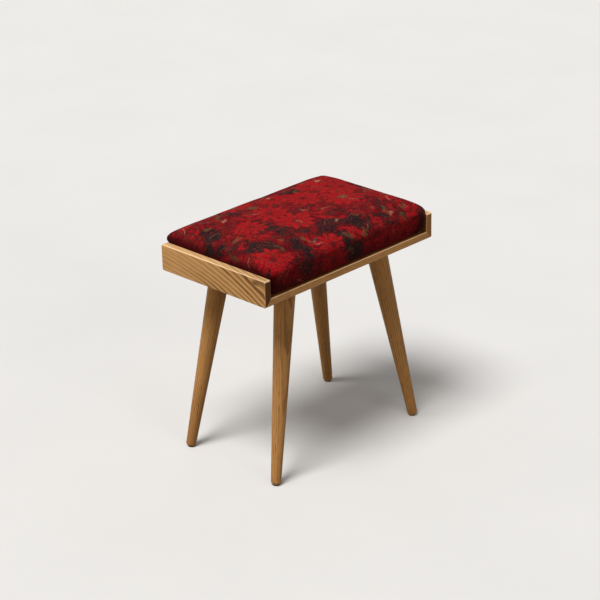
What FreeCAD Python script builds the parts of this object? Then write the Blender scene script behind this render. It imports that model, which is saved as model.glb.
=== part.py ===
import FreeCAD, Part
import math
import os

# Piano stool: a mitred oak tray on four splayed turned legs, with a loose upholstered pad.
# Millimetres. X runs along the length, -Y is the front and +Z is up. The origin is on the
# floor, under the middle of the tray.

# Overall sizes
stool_length = 470.0            # over the outer faces of the end boards
stool_depth = 282.0             # front edge to back edge of the boards
seat_height = 475.0             # top of the pad's crown above the floor

# Tray boards
board_thickness = 16.0
end_board_thickness = 16.0
end_board_height = 54.0         # from the seat board's underside to the end board's top
board_arris = 2.2               # rounding of every outside edge
end_round = 4.0                 # rounding of the tray's four corners, seen from the end

# Mitre biscuits, standard lens shape
biscuit_length = 47.0
biscuit_width = 15.0
biscuit_thickness = 4.0
biscuit_offset = 8.0            # from the inner corner, along the mitre face
biscuit_pitch = 92.0
biscuits_per_mitre = 3
biscuit_slot_room = 0.5         # room at the ends and tips of a slot
biscuit_slot_fit = 0.05         # room on each flat of a slot

# Legs
splay_along = 10.8              # degrees, seen from the front
splay_across = 5.1              # degrees, seen from the end
leg_top_diameter = 42.0
leg_foot_diameter = 20.0
leg_top_chamfer = 1.2
leg_foot_round = 2.4            # from the leg's side in to the foot's level face
leg_foot_ball = 8.0             # middle of the foot's rounding above its level face
foot_pad_thickness = 2.0
foot_pad_margin = 0.4           # from the felt to the edge of the foot's level face

# Leg plates and their fixings
plate_end_inset = 105.5         # from the stool's end to a plate's centre
plate_side_inset = 53.8         # from the stool's front or back edge to the same
plate_corner = 9.0
plate_sheet = 2.0
plate_headroom = 3.0            # from the bolt's end to the board, before the seat tilts
plate_seat_margin = 1.0         # seat beyond the leg's top, all round
plate_wall_slope = 12.0         # degrees between the cup's wall and the leg
plate_hole_margin = 1.0         # between the cup's mouth and a screw's head
plate_edge_margin = 8.0         # from a row of screws to the plate's edge
screw_diameter = 4.0
screw_length = 14.0
screw_head_diameter = 7.6
screw_head_height = 2.4
screw_crown_diameter = 4.0
screw_hole_room = 0.25          # radial room in the plate
bolt_diameter = 8.0
bolt_in_leg = 36.0
bolt_tip = 6.0
bolt_past_nut = 1.0
bolt_chamfer = 0.8
nut_across_flats = 13.0
nut_height = 6.5
bore_fit = 0.05                 # radial room of a screwed or glued pin in its hole
bore_run_out = 1.0              # hole beyond the end of what it takes

# Upholstered pad
pad_height = 69.0               # from the seat board's top to the pad's crown
pad_end_gap = 1.0               # between the pad's fullest place and each end board
pad_overhang = 1.0              # past the front and back edges of the seat board
pad_corner = 14.0               # upright corners, seen from above
pad_corner_least = 8.0          # the same corners, at the level middle of the top
pad_rim = 20.0                  # rounding from the top down into the sides
pad_hem_round = 10.0            # rounding from the sides in under the pad
pad_draw_in = 2.5               # how far the sides lean in from the fullest place to the hem
pad_lean = 0.8                  # how far the sides lean in from the fullest place to the rim
pad_crown = 6.0                 # rise of the top from the rim to the middle
pad_crown_run = 96.0            # from the pad's widest outline to the level middle of the top
hem_turns = (0, 30, 60, 90)     # degrees round the hem at which a section is taken
rim_turns = (0, 22, 45, 68)     # degrees round the rim at which a section is taken
crown_shares = (0.35, 1.0)      # sections across the crown, as shares of its run
cover_thickness = 1.5
cover_hem_width = 30.0          # turned in under the pad board
wadding_thickness = 6.0
layer_room = 0.3                # between one soft layer and the next
pad_board_thickness = 12.0
pad_board_room = 1.5            # from the inner end of the hem's rounding to the pad board
corner_ease = 8.0               # flat layers have corners this much rounder than the pad's
hem_window_corner = 10.0
dust_cover_thickness = 0.8
dust_cover_margin = 4.0         # from the pad board's edge to the dust cover's

# Staples and locating pegs
staple_crown = 10.0
staple_wire_height = 0.6
staple_wire_width = 1.2
staple_length = 6.0
staple_margin = 8.0             # from the dust cover's edge to a row of staples
staple_corner_room = 22.0       # from the last staple of a row to the next row's line
staples_along = 9               # on each long side
staples_across = 5              # on each short side
peg_diameter = 10.0
peg_in_pad = 9.0
peg_in_board = 10.0
peg_chamfer = 1.0
peg_hole_room = 0.3             # radial room in the seat board
peg_cloth_room = 1.5            # radial room in the dust cover
peg_end_inset = 63.0            # from the pad's end to a peg
peg_side_inset = 97.0           # from the pad's front or back to a peg

# Worked out from the sizes above
Vector = FreeCAD.Vector
up_axis = Vector(0, 0, 1)
board_top = seat_height - pad_height
board_underside = board_top - board_thickness
pad_length = stool_length - 2 * end_board_thickness - 2 * pad_end_gap
pad_depth = stool_depth + 2 * pad_overhang
plate_centre_x = stool_length / 2 - plate_end_inset
plate_centre_y = stool_depth / 2 - plate_side_inset
peg_centre_x = pad_length / 2 - peg_end_inset
peg_centre_y = pad_depth / 2 - peg_side_inset
dust_cover_bottom = board_top + staple_wire_height
hem_bottom = dust_cover_bottom + dust_cover_thickness
pad_board_bottom = hem_bottom + cover_thickness
pad_board_top = pad_board_bottom + pad_board_thickness
wadding_inset = cover_thickness + layer_room
foam_inset = wadding_inset + wadding_thickness + layer_room
pad_board_inset = pad_draw_in + pad_hem_round + pad_board_room
dust_cover_inset = pad_board_inset + dust_cover_margin
staple_inset = dust_cover_inset + staple_margin
foot_flat = leg_foot_diameter / 2 - leg_foot_round
foot_ball_radius = math.hypot(foot_flat, leg_foot_ball)
lean_along = math.tan(math.radians(splay_along))
lean_across = math.tan(math.radians(splay_across))
leg_tilt = math.atan(math.hypot(lean_along, lean_across))
plate_flare = math.tan(math.radians(plate_wall_slope))
plate_seat_radius = leg_top_diameter / 2 + plate_seat_margin
plate_seat_drop = plate_sheet + nut_height + bolt_past_nut + plate_headroom
mouth_rise = plate_seat_drop * (math.sin(leg_tilt) + plate_flare * math.cos(leg_tilt))
mouth_slant = math.cos(leg_tilt) - plate_flare * math.sin(leg_tilt)
plate_mouth = (plate_seat_radius + mouth_rise) / mouth_slant
screw_half_pitch = (plate_mouth + screw_head_diameter / 2 + plate_hole_margin) * math.sqrt(0.5)
plate_half_side = screw_half_pitch + plate_edge_margin
corners = {
    "front_left": (-1, -1),
    "front_right": (1, -1),
    "back_left": (-1, 1),
    "back_right": (1, 1),
}


def line(start, end):
    return Part.LineSegment(start, end).toShape()


def polygon_face(points):
    return Part.Face(Part.makePolygon(points + points[:1]))


def flat_strip(below, above):
    """Flat face between two straight edges that run the same way."""
    return polygon_face([
        below.valueAt(below.FirstParameter), below.valueAt(below.LastParameter),
        above.valueAt(above.LastParameter), above.valueAt(above.FirstParameter),
    ])


def revolve_profile(points):
    """Solid of revolution about Z from a closed (radius, height) outline."""
    face = polygon_face([Vector(radius, 0, height) for radius, height in points])
    return face.revolve(Vector(), up_axis, 360)


def cylinder(radius, bottom, top, x=0.0, y=0.0):
    return Part.makeCylinder(radius, top - bottom, Vector(x, y, bottom))


def slab(bottom, top):
    """Block wider than the stool between two heights, for trimming."""
    return Part.makeBox(
        2 * stool_length, 2 * stool_depth, top - bottom,
        Vector(-stool_length, -stool_depth, bottom),
    )


def rounded_rectangle(half_x, half_y, radius, height):
    """Wire of four straight sides and four quarter arcs at one height."""
    straight_x = half_x - radius
    straight_y = half_y - radius
    diagonal = radius * math.sqrt(0.5)
    edges = []
    for turn in range(4):
        spin = FreeCAD.Rotation(up_axis, 90 * turn)
        near, far = (straight_x, straight_y) if turn % 2 == 0 else (straight_y, straight_x)
        centre = Vector(near, far, height)
        start = spin.multVec(centre + Vector(radius, 0, 0))
        middle = spin.multVec(centre + Vector(diagonal, diagonal, 0))
        end = spin.multVec(centre + Vector(0, radius, 0))
        edges.append(Part.Arc(start, middle, end).toShape())
        edges.append(line(end, spin.multVec(Vector(-near, far + radius, height))))
    return Part.Wire(edges)


def rounded_plate(half_x, half_y, radius, bottom, top):
    face = Part.Face(rounded_rectangle(half_x, half_y, radius, bottom))
    return face.extrude(Vector(0, 0, top - bottom))


# Tray: one rounded U profile, parted on the two mitre planes

def tray_blank():
    """U-shaped board run, rounded on every edge but the two inner corners."""
    outer = stool_length / 2
    inner = outer - end_board_thickness
    rim = board_underside + end_board_height
    outline = [
        (-outer, board_underside), (outer, board_underside), (outer, rim), (inner, rim),
        (inner, board_top), (-inner, board_top), (-inner, rim), (-outer, rim),
    ]
    face = polygon_face([Vector(x, -stool_depth / 2, z) for x, z in outline])
    blank = face.extrude(Vector(0, stool_depth, 0))
    end_corners = []
    for edge in blank.Edges:
        middle = edge.CenterOfMass
        at_height = abs(middle.z - rim) < 1e-4 or abs(middle.z - board_underside) < 1e-4
        if at_height and abs(abs(middle.y) - stool_depth / 2) < 1e-4:
            end_corners.append(edge)
    blank = blank.makeFillet(end_round, end_corners)
    outside_edges = []
    for edge in blank.Edges:
        middle = edge.CenterOfMass
        at_inner_corner = abs(abs(middle.x) - inner) < 1e-4 and abs(middle.z - board_top) < 1e-4
        across_top_round = abs(abs(middle.x) - outer + end_board_thickness / 2) < 1e-4
        across_low_round = abs(middle.x) < 1e-4 and middle.z < board_top - 1e-4
        if not at_inner_corner and not across_top_round and not across_low_round:
            outside_edges.append(edge)
    return blank.makeFillet(board_arris, outside_edges)


def mitre_corners(side):
    """Inner and outer corner of one mitre in the XZ plane."""
    outer = Vector(side * stool_length / 2, 0, board_underside)
    inner = Vector(side * (stool_length / 2 - end_board_thickness), 0, board_top)
    return inner, outer


def mitre_wedge(side):
    """Everything on the end board's side of a mitre plane."""
    inner, outer = mitre_corners(side)
    reach = (inner - outer) * (2 * end_board_height / board_thickness)
    low = outer - reach
    high = inner + reach
    outline = [low, high, Vector(low.x, 0, high.z)]
    face = polygon_face([point - Vector(0, stool_depth, 0) for point in outline])
    return face.extrude(Vector(0, 2 * stool_depth, 0))


def mitre_lenses(side, room, fit):
    """Row of lens shapes across a mitre: the biscuits, or with room and fit their slots."""
    inner, outer = mitre_corners(side)
    slope = (outer - inner).normalize()
    across = Vector(slope.z, 0, -slope.x)
    along = Vector(0, biscuit_length / 2 + room, 0)
    bulge = across * (biscuit_width / 2 + room)
    thickness = slope * (biscuit_thickness + 2 * fit)
    lenses = []
    for index in range(biscuits_per_mitre):
        place = (index - (biscuits_per_mitre - 1) / 2) * biscuit_pitch
        centre = inner + slope * biscuit_offset + Vector(0, place, 0) - thickness / 2
        upper = Part.Arc(centre - along, centre + bulge, centre + along).toShape()
        lower = Part.Arc(centre + along, centre - bulge, centre - along).toShape()
        lenses.append(Part.Face(Part.Wire([upper, lower])).extrude(thickness))
    return lenses


def plate_screw_points(side_x, side_y):
    """Centres of the four screws of one leg plate."""
    points = []
    for step_x in (-screw_half_pitch, screw_half_pitch):
        for step_y in (-screw_half_pitch, screw_half_pitch):
            x = side_x * plate_centre_x + step_x
            y = side_y * plate_centre_y + step_y
            points.append((x, y))
    return points


def peg_points():
    return [(side_x * peg_centre_x, side_y * peg_centre_y) for side_x, side_y in corners.values()]


def seat_board(blank, wedges, slots):
    """Flat board of the tray, with blind holes for the screws below and the pegs above."""
    board = blank.cut(wedges + slots)
    screw_reach = screw_length - plate_sheet + bore_run_out
    holes = []
    for side_x, side_y in corners.values():
        for x, y in plate_screw_points(side_x, side_y):
            radius = screw_diameter / 2 + bore_fit
            holes.append(cylinder(radius, board_underside, board_underside + screw_reach, x, y))
    for x, y in peg_points():
        bottom = board_top - peg_in_board - bore_run_out
        holes.append(cylinder(peg_diameter / 2 + peg_hole_room, bottom, board_top, x, y))
    return board.cut(holes)


# Legs and their fixings

def leg_place(side_x, side_y):
    """Frame at the middle of a leg's top, on the plate's seat, with Z up along the leg."""
    rise = Vector(-side_x * lean_along, -side_y * lean_across, 1)
    seat = Vector(side_x * plate_centre_x, side_y * plate_centre_y, board_underside - plate_seat_drop)
    return FreeCAD.Placement(seat, FreeCAD.Rotation(up_axis, rise))


def leg_axis(place):
    return place.Rotation.multVec(up_axis)


def leg_length(place):
    """Distance along the leg from its top to the top of its felt pad."""
    return (place.Base.z - foot_pad_thickness) / leg_axis(place).z


def foot_centre(place):
    """Middle of the foot's level face, below the centre of the foot's rounding."""
    ball = place.Base - leg_axis(place) * (leg_length(place) - leg_foot_ball / leg_axis(place).z)
    return Vector(ball.x, ball.y, foot_pad_thickness)


def put(shape, place):
    return shape.transformed(place.toMatrix())


def turned_leg(place):
    """Straight-tapered turning, rounded and then sawn level at the foot, bored for its bolt."""
    length = leg_length(place)
    top_radius = leg_top_diameter / 2
    taper = (leg_top_diameter - leg_foot_diameter) / 2 / length
    ball_height = leg_foot_ball / leg_axis(place).z - length
    ball_leg_radius = top_radius + ball_height * taper
    # Where the taper meets the round foot: the root of a quadratic in the distance below its centre
    square = 1 + taper ** 2
    slope = ball_leg_radius * taper
    spare = foot_ball_radius ** 2 - ball_leg_radius ** 2
    drop = (slope + math.sqrt(slope ** 2 + square * spare)) / square
    turn = math.acos(drop / foot_ball_radius) / 2
    round_start = Vector(ball_leg_radius - drop * taper, 0, ball_height - drop)
    round_middle = Vector(
        foot_ball_radius * math.sin(turn), 0, ball_height - foot_ball_radius * math.cos(turn),
    )
    round_end = Vector(0, 0, ball_height - foot_ball_radius)
    top_edge = Vector(top_radius - leg_top_chamfer, 0, 0)
    shoulder = Vector(top_radius - leg_top_chamfer * taper, 0, -leg_top_chamfer)
    profile = Part.Wire([
        line(Vector(), top_edge),
        line(top_edge, shoulder),
        line(shoulder, round_start),
        Part.Arc(round_start, round_middle, round_end).toShape(),
        line(round_end, Vector()),
    ])
    turning = Part.Face(profile).revolve(Vector(), up_axis, 360)
    bore = cylinder(bolt_diameter / 2 + bore_fit, -bolt_in_leg - bore_run_out, 0)
    return put(turning.cut(bore), place).common(slab(foot_pad_thickness, board_underside))


def hanger_bolt(place):
    """Headless bolt, pointed in the leg and chamfered above the nut."""
    radius = bolt_diameter / 2
    top = plate_sheet + nut_height + bolt_past_nut
    bolt = revolve_profile([
        (0, -bolt_in_leg),
        (radius, -bolt_in_leg + bolt_tip),
        (radius, top - bolt_chamfer),
        (radius - bolt_chamfer, top),
        (0, top),
    ])
    return put(bolt, place)


def plate_nut(place):
    """Hexagon nut on the inner face of the plate's tilted seat."""
    radius = nut_across_flats / math.sqrt(3)
    hexagon = []
    for corner in range(6):
        angle = math.radians(60 * corner)
        hexagon.append(Vector(radius * math.cos(angle), radius * math.sin(angle), plate_sheet))
    nut = polygon_face(hexagon).extrude(Vector(0, 0, nut_height))
    bore = cylinder(bolt_diameter / 2 + bore_fit, 0, plate_sheet + nut_height)
    return put(nut.cut(bore), place)


def cup(place, seat_radius, depth):
    """Cone about the leg from a seat square to it, flaring up to the board's underside."""
    reach = plate_seat_drop + leg_top_diameter
    cone = revolve_profile([
        (0, depth),
        (seat_radius, depth),
        (seat_radius + reach * plate_flare, depth + reach),
        (0, depth + reach),
    ])
    return put(cone, place).common(slab(0, board_underside))


def leg_plate(place, side_x, side_y):
    """Pressed steel plate: a flat flange and a cup whose floor is square to the leg."""
    half = plate_half_side
    flange = rounded_plate(half, half, plate_corner, board_underside - plate_sheet, board_underside)
    flange.translate(Vector(side_x * plate_centre_x, side_y * plate_centre_y, 0))
    wall = plate_sheet / math.cos(math.radians(plate_wall_slope))
    pressed = flange.fuse(cup(place, plate_seat_radius, 0))
    cuts = [cup(place, plate_seat_radius + plate_sheet * plate_flare - wall, plate_sheet)]
    cuts.append(put(cylinder(bolt_diameter / 2 + bore_fit, 0, plate_sheet), place))
    for x, y in plate_screw_points(side_x, side_y):
        radius = screw_diameter / 2 + screw_hole_room
        cuts.append(cylinder(radius, board_underside - plate_sheet, board_underside, x, y))
    return pressed.cut(cuts).removeSplitter()


def wood_screw():
    """Plain pan-head screw pointing up, with the underside of its head at height 0."""
    shank = screw_diameter / 2
    return revolve_profile([
        (0, -screw_head_height),
        (screw_crown_diameter / 2, -screw_head_height),
        (screw_head_diameter / 2, 0),
        (shank, 0),
        (shank, screw_length),
        (0, screw_length),
    ])


def plate_screws(side_x, side_y):
    pattern = wood_screw()
    screws = []
    for x, y in plate_screw_points(side_x, side_y):
        screw = pattern.copy()
        screw.translate(Vector(x, y, board_underside - plate_sheet))
        screws.append(screw)
    return Part.makeCompound(screws)


def foot_pad(place):
    centre = foot_centre(place)
    return cylinder(foot_flat - foot_pad_margin, 0, foot_pad_thickness, centre.x, centre.y)


# Upholstered pad

def pad_profile(inset, hemmed):
    """(distance inside the widest outline, height) of each section, from the bottom up."""
    middle = (hem_bottom + seat_height) / 2
    sections = []
    if hemmed:
        hem_radius = pad_hem_round - inset
        for turn in hem_turns:
            across = hem_radius * (1 - math.sin(math.radians(turn)))
            rise = hem_radius * (1 - math.cos(math.radians(turn)))
            sections.append((inset + pad_draw_in + across, hem_bottom + inset + rise))
    else:
        lean = pad_draw_in * (middle - pad_board_top) / (middle - hem_bottom - pad_hem_round)
        sections.append((inset + lean, pad_board_top))
    sections.append((inset, middle))
    rim_radius = pad_rim - inset
    rim_centre = seat_height - pad_crown - pad_rim
    for turn in rim_turns:
        across = rim_radius * (1 - math.cos(math.radians(turn)))
        rise = rim_radius * math.sin(math.radians(turn))
        sections.append((inset + pad_lean + across, rim_centre + rise))
    brow, brow_height = sections[-1]
    run = pad_crown_run - brow
    climb = seat_height - inset - brow_height
    for share in crown_shares:
        sections.append((brow + run * share, brow_height + climb * (1 - (1 - share) ** 2)))
    return sections


def pad_form(inset, hemmed):
    """Crowned pad with swelling sides, inset in the cover: rounded rectangles joined by ruled faces."""
    outlines = []
    for distance, height in pad_profile(inset, hemmed):
        corner = max(pad_corner - distance, pad_corner_least)
        half_x = pad_length / 2 - distance
        half_y = pad_depth / 2 - distance
        outlines.append(rounded_rectangle(half_x, half_y, corner, height))
    faces = [Part.Face(outlines[0]), Part.Face(outlines[-1])]
    for lower, upper in zip(outlines, outlines[1:]):
        for below, above in zip(lower.Edges, upper.Edges):
            if below.Curve.TypeId == "Part::GeomLine":
                faces.append(flat_strip(below, above))
            else:
                faces.append(Part.makeRuledSurface(below, above))
    shell = Part.makeShell(faces)
    shell.sewShape()
    return Part.makeSolid(shell)


def pad_cover():
    """Woven cover as one shell, turned in under the pad board all round."""
    inset = pad_board_inset + cover_hem_width
    half_x = pad_length / 2 - inset
    half_y = pad_depth / 2 - inset
    window = rounded_plate(half_x, half_y, hem_window_corner, hem_bottom, pad_board_bottom)
    return pad_form(0, True).cut([pad_form(cover_thickness, True), window])


def pad_wadding():
    """Layer of wadding over the foam, cut off level with the top of the pad board."""
    return pad_form(wadding_inset, False).cut(pad_form(wadding_inset + wadding_thickness, False))


def pad_foam():
    return pad_form(foam_inset, False)


def pad_board():
    """Plywood board with blind holes for the glued pegs."""
    half_x = pad_length / 2 - pad_board_inset
    half_y = pad_depth / 2 - pad_board_inset
    corner = pad_corner - pad_board_inset + corner_ease
    board = rounded_plate(half_x, half_y, corner, pad_board_bottom, pad_board_top)
    holes = []
    for x, y in peg_points():
        top = pad_board_bottom + peg_in_pad + bore_run_out
        holes.append(cylinder(peg_diameter / 2 + bore_fit, pad_board_bottom, top, x, y))
    return board.cut(holes)


def pad_dust_cover():
    """Thin cloth stapled under the pad, with a hole round each peg."""
    half_x = pad_length / 2 - dust_cover_inset
    half_y = pad_depth / 2 - dust_cover_inset
    corner = pad_corner - dust_cover_inset + corner_ease
    cloth = rounded_plate(half_x, half_y, corner, dust_cover_bottom, hem_bottom)
    holes = []
    for x, y in peg_points():
        radius = peg_diameter / 2 + peg_cloth_room
        holes.append(cylinder(radius, dust_cover_bottom, hem_bottom, x, y))
    return cloth.cut(holes)


def staple():
    """One U-shaped staple along X, with the underside of its crown at height 0."""
    half = staple_crown / 2
    inner = half - staple_wire_height
    outline = [
        (-half, 0), (half, 0), (half, staple_length), (inner, staple_length),
        (inner, staple_wire_height), (-inner, staple_wire_height),
        (-inner, staple_length), (-half, staple_length),
    ]
    face = polygon_face([Vector(x, -staple_wire_width / 2, z) for x, z in outline])
    return face.extrude(Vector(0, staple_wire_width, 0))


def pad_staples():
    """Staples through the dust cover and the hem into the pad board, on all four sides."""
    line_x = pad_length / 2 - staple_inset
    line_y = pad_depth / 2 - staple_inset
    clear_x = line_x - staple_corner_room
    clear_y = line_y - staple_corner_room
    pattern = staple()
    staples = []
    for side in (-1, 1):
        for index in range(staples_along):
            share = 2 * index / (staples_along - 1) - 1
            copy = pattern.copy()
            copy.translate(Vector(share * clear_x, side * line_y, board_top))
            staples.append(copy)
        for index in range(staples_across):
            share = 2 * index / (staples_across - 1) - 1
            copy = pattern.copy()
            copy.rotate(Vector(), up_axis, 90)
            copy.translate(Vector(side * line_x, share * clear_y, board_top))
            staples.append(copy)
    return Part.makeCompound(staples)


def pad_pegs():
    """Four dowels from the pad board down into the seat board, chamfered to find their holes."""
    radius = peg_diameter / 2
    bottom = board_top - peg_in_board
    top = pad_board_bottom + peg_in_pad
    pattern = revolve_profile([
        (0, bottom),
        (radius - peg_chamfer, bottom),
        (radius, bottom + peg_chamfer),
        (radius, top),
        (0, top),
    ])
    pegs = []
    for x, y in peg_points():
        peg = pattern.copy()
        peg.translate(Vector(x, y, 0))
        pegs.append(peg)
    return Part.makeCompound(pegs)


def build_tray():
    blank = tray_blank()
    wedges = {"left": mitre_wedge(-1), "right": mitre_wedge(1)}
    sides = {"left": -1, "right": 1}
    nodes = {}
    slots = []
    for name, side in sides.items():
        end_slots = mitre_lenses(side, biscuit_slot_room, biscuit_slot_fit)
        nodes[name + "_end_board"] = blank.common(wedges[name]).cut(end_slots)
        nodes[name + "_mitre_biscuits"] = Part.makeCompound(mitre_lenses(side, 0, 0))
        slots += end_slots
    nodes["seat_board"] = seat_board(blank, list(wedges.values()), slots)
    return nodes


def build_legs():
    nodes = {}
    for corner, (side_x, side_y) in corners.items():
        place = leg_place(side_x, side_y)
        nodes[corner + "_leg"] = turned_leg(place)
        nodes[corner + "_hanger_bolt"] = hanger_bolt(place)
        nodes[corner + "_leg_plate"] = leg_plate(place, side_x, side_y)
        nodes[corner + "_plate_nut"] = plate_nut(place)
        nodes[corner + "_plate_screws"] = plate_screws(side_x, side_y)
        nodes[corner + "_foot_pad"] = foot_pad(place)
    return nodes


def build_pad():
    return {
        "pad_board": pad_board(),
        "pad_foam": pad_foam(),
        "pad_wadding": pad_wadding(),
        "pad_cover": pad_cover(),
        "pad_dust_cover": pad_dust_cover(),
        "pad_staples": pad_staples(),
        "pad_pegs": pad_pegs(),
    }


def main():
    os.makedirs("parts", exist_ok=True)
    nodes = {**build_tray(), **build_legs(), **build_pad()}
    for name, shape in nodes.items():
        if not shape.isValid() or not shape.Solids:
            raise ValueError(name + " is not a valid solid")
        shape.exportStep("parts/" + name + ".step")
        print(name, len(shape.Solids), round(shape.Volume))


main()
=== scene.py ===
import math
from functools import partial

import bmesh
import bpy
from bpy.props import FloatProperty, FloatVectorProperty, IntProperty, PointerProperty
from mathutils import Matrix, Quaternion, Vector
from mathutils import noise as perlin


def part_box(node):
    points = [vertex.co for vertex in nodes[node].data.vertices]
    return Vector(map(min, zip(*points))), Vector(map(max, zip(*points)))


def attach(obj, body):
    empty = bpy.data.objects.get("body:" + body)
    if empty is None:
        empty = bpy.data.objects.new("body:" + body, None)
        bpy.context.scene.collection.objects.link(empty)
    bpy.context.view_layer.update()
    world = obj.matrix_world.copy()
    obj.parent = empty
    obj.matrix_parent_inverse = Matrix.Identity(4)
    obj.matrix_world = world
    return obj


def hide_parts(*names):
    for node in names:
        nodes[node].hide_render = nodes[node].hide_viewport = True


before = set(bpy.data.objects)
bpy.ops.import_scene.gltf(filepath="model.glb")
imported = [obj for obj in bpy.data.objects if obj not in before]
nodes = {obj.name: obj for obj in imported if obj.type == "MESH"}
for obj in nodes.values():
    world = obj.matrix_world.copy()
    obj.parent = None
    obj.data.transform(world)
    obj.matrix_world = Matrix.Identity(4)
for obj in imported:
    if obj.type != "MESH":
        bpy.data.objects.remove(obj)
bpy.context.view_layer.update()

# Looks of the piano stool: oiled oak, zinc-plated fixings and a pad in red floral cloth.
# Metres. X runs along the length, -Y is the front and +Z is up.

bl_info = {
    "name": "Piano stool looks",
    "version": (1, 0, 0),
    "blender": (4, 5, 0),
    "location": "View3D > Sidebar > Stool",
    "description": "Finishes, soft pad and studio for a tray-topped piano stool",
    "category": "Object",
}

corner_names = ("front_left", "front_right", "back_left", "back_right")

# Sizes that the boxes of the CAD nodes don't give
board_thickness = 0.016
plate_sheet = 0.002
screw_head = 0.0038
screw_shank = 0.002
cover_thickness = 0.0015
wadding_inset = 0.0021
wadding_thickness = 0.0057
foam_inset = 0.0083
hem_overlap = 0.026
dust_thickness = 0.0004
peg_radius = 0.005
peg_clearance = 0.0015

# Sizes that they give
pad_low, pad_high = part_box("pad_cover")
dust_low, dust_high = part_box("pad_dust_cover")
dust_size = dust_high - dust_low
filling_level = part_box("pad_wadding")[0].z
screw_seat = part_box("seat_board")[0].z - plate_sheet
end_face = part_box("right_end_board")[1].x - board_thickness
end_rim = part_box("right_end_board")[1].z


def middle_of(node):
    low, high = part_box(node)
    return (low + high) / 2


def corners_of(node, inset):
    """Four points of a node's box, seen from above, moved in from its corners."""
    low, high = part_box(node)
    return [(x, y) for x in (low.x + inset, high.x - inset) for y in (low.y + inset, high.y - inset)]


def between(value, low, high):
    return max(low, min(high, value))


# Settings

def linear(red, green, blue):
    """Scene-linear colour of a picture colour from 0 to 255."""
    shares = []
    for value in (red, green, blue):
        share = value / 255
        shares.append(share / 12.92 if share <= 0.04045 else ((share + 0.055) / 1.055) ** 2.4)
    return tuple(shares)


def colour_setting(name, description, *picture_colour):
    return FloatVectorProperty(
        name=name, description=description, default=linear(*picture_colour), subtype="COLOR")


def length_setting(name, description, metres):
    return FloatProperty(name=name, description=description, default=metres, unit="LENGTH")


def angle_setting(name, description, degrees):
    return FloatProperty(
        name=name, description=description, default=math.radians(degrees), subtype="ANGLE")


def number_setting(name, description, value):
    return FloatProperty(name=name, description=description, default=value)


class StudioSettings(bpy.types.PropertyGroup):
    azimuth: angle_setting("Azimuth", "Camera's turn round the stool, from the front", -45.39)
    elevation: angle_setting("Elevation", "Camera's height as an angle above the floor", 23.77)
    roll: angle_setting("Roll", "Camera's turn about its own line of sight", -1.31)
    distance: length_setting("Distance", "From the camera to the point that it looks at", 3.946)
    target: FloatVectorProperty(
        name="Target", description="Point that the camera looks at",
        default=(-0.0162, -0.0152, 0.2995), subtype="TRANSLATION")
    lens: number_setting("Lens", "Focal length in millimetres on a 36 mm sensor", 120.0)
    floor_colour: colour_setting("Floor", "Colour that the floor shows", 228, 226, 223)
    floor_bounce: colour_setting("Floor bounce", "Floor colour for the light it sends up", 104, 102, 100)
    key_strength: number_setting("Key light", "Strength of the soft light from the upper left", 2.75)
    side_strength: number_setting("Side light", "Strength of the low soft light from the left", 0.53)
    fill_strength: number_setting("Fill light", "Strength of the soft light from the front", 0.35)
    softness: angle_setting("Softness", "How wide the lights look", 26)
    backdrop: number_setting("Backdrop", "Brightness beyond the floor, where 1 is white", 0.88)
    sky_strength: number_setting("Sky", "Strength of the even light from all round", 0.20)


class OakSettings(bpy.types.PropertyGroup):
    late_wood: colour_setting("Late wood", "Pale, close part of each growth ring", 210, 158, 98)
    early_wood: colour_setting("Early wood", "Dark, open part of each growth ring", 114, 72, 37)
    seat_wood: colour_setting("Seat board wood", "Pale part of the seat board's rings", 215, 156, 94)
    leg_wood: colour_setting("Leg wood", "Pale part of the legs' rings", 192, 138, 80)
    pore: colour_setting("Pores", "Colour in the open pores", 66, 40, 21)
    end_wood: colour_setting("End grain", "Cut ends, which take up more oil", 98, 51, 20)
    pale_end: colour_setting("Pale end grain", "Cut ends of the right end board", 176, 124, 72)
    # Wear along the edges with a painted highlight, and painted light on the end boards' tops
    worn_edge: colour_setting("Pale wear and highlight", "Paler wood along handled edges", 250, 212, 164)
    # Painted shade on the inner faces of the tray
    inside_painted_shade: colour_setting("Inside painted shade", "Tint of the unhandled faces in the tray", 176, 152, 132)
    knot: colour_setting("Knot", "Core of the knot in the left end board", 94, 66, 26)
    ring_spacing: length_setting("Ring spacing", "Between one growth ring and the next", 0.0072)
    slope: angle_setting("Slope", "Fall of the figure along an end board", 18.5)
    sweep: number_setting("Sweep", "How much the figure of an end board fans out along it", 0.9)
    roughness: number_setting("Roughness", "Roughness of the oiled face", 0.36)
    shine: number_setting("Shine", "Reflection of the oiled face", 0.06)


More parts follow.
